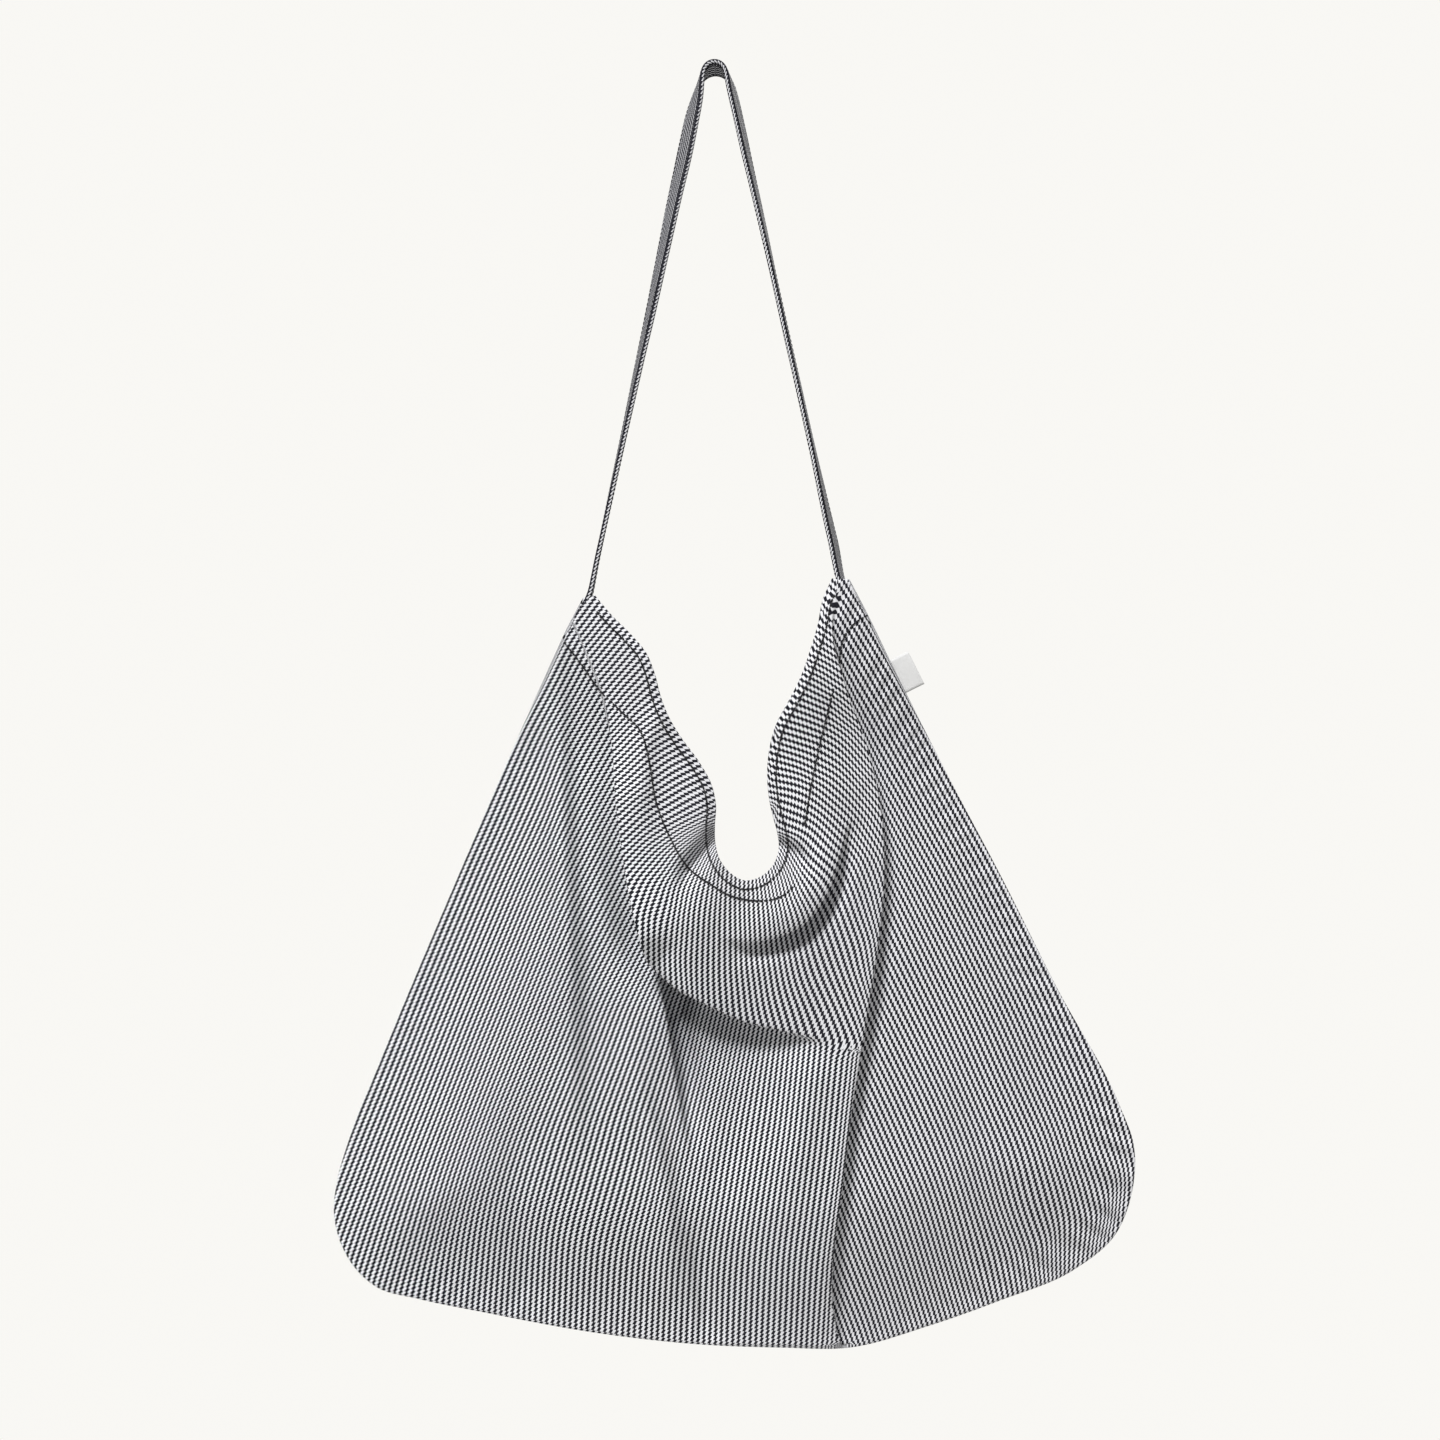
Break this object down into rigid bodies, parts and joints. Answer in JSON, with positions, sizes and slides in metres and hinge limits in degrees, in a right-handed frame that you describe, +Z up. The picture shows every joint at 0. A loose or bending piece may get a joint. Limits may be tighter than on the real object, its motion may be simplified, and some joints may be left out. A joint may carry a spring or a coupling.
{
  "type": "canvas tote bag",
  "caption": "Striped canvas tote bag with one long shoulder strap, hanging from a peg, its mouth slumped open in soft folds.",
  "frame": {"origin": "on the axis of the peg that carries the strap, at the middle of the strap's width", "axes": "+Z up, -Y towards the bag's front, X across the bag, and the peg's axis along Y"},
  "size_m": [0.5122, 0.0794, 0.823],
  "materials": {
    "striped_canvas": "navy and off-white hickory stripe twill",
    "strap_canvas": "the same cloth, folded along the stripe",
    "black_thread": "matt sewing thread",
    "label_cloth": "plain white woven label, with no lettering"
  },
  "bodies": {
    "strap": {"shoulder_strap": "strap_canvas", "strap_stitch_front": "black_thread", "strap_stitch_back": "black_thread"},
    "bag": {"strap_end_left": "strap_canvas", "strap_end_right": "strap_canvas", "back_panel": "striped_canvas", "back_hem": "striped_canvas", "side_seam_left": "striped_canvas", "side_seam_right": "striped_canvas", "bottom_seam": "striped_canvas", "bar_tack_left_upper": "black_thread", "bar_tack_left_lower": "black_thread", "bar_tack_right_upper": "black_thread", "bar_tack_right_lower": "black_thread"},
    "front": {"front_panel": "striped_canvas", "front_hem": "striped_canvas"},
    "label": {"label": "label_cloth"}
  },
  "joints": [
    {"name": "strap_fold", "type": "hinge", "parent": "strap", "child": "bag", "pos_m": [-0.0755, 0, -0.306], "axis": [0.9978, 0, 0.0659], "range_deg": [-105, 105]},
    {"name": "mouth_open", "type": "hinge", "parent": "bag", "child": "front", "pos_m": [0.01, 0, -0.816], "axis": [1, 0, 0], "range_deg": [0, 8], "stiffness_Nm_per_rad": 0.6},
    {"name": "label_flap", "type": "hinge", "parent": "bag", "child": "label", "pos_m": [0.1213, 0.0021, -0.38], "axis": [0.4403, 0.022, -0.8976], "range_deg": [-45, 45], "stiffness_Nm_per_rad": 0.0002}
  ]
}
